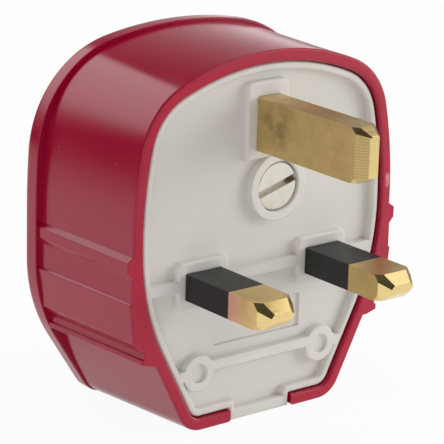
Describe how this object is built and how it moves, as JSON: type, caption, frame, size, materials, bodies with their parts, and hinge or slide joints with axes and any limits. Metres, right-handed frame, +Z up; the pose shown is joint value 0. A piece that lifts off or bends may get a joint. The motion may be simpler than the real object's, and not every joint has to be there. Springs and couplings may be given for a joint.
{
  "type": "uk three pin plug",
  "caption": "Rewirable three pin mains plug with a moulded cover, ribbed base, flat pins, sleeved lower pins, cartridge fuse, clamp terminals and a cord grip.",
  "frame": {"origin": "under the middle of the whole plug, on the plane it stands on", "axes": "+Z up towards the earth pin, pins point to -Y, +X towards the neutral pin"},
  "size_m": [0.0516, 0.0468, 0.0555],
  "materials": {
    "cover_plastic": "glossy moulded, deep crimson",
    "base_plastic": "satin moulded, warm white",
    "pin_brass": "satin with fine saw marks",
    "sleeve_plastic": "satin black",
    "screw_metal": "nickel plated, satin",
    "clip_metal": "satin spring strip",
    "cap_metal": "plated, satin",
    "fuse_ceramic": "unglazed, matt",
    "fibre": "pressed fibre, matt"
  },
  "bodies": {
    "root": {"cover": "cover_plastic", "base": "base_plastic", "earth_pin": "pin_brass", "neutral_pin": "pin_brass", "live_pin": "pin_brass", "neutral_sleeve": "sleeve_plastic", "live_sleeve": "sleeve_plastic", "cover_screw": "screw_metal", "screw_retainer": "fibre", "cover_insert": "pin_brass", "live_terminal": "pin_brass", "earth_terminal_screw": "screw_metal", "neutral_terminal_screw": "screw_metal", "live_terminal_screw": "screw_metal", "fuse_clip_lower": "clip_metal", "fuse_clip_upper": "clip_metal", "fuse_cap_lower": "cap_metal", "fuse_cap_upper": "cap_metal", "fuse_tube": "fuse_ceramic", "fuse_element": "clip_metal", "cord_grip_bar": "base_plastic", "cord_grip_screw_left": "screw_metal", "cord_grip_screw_right": "screw_metal"}
  },
  "joints": []
}
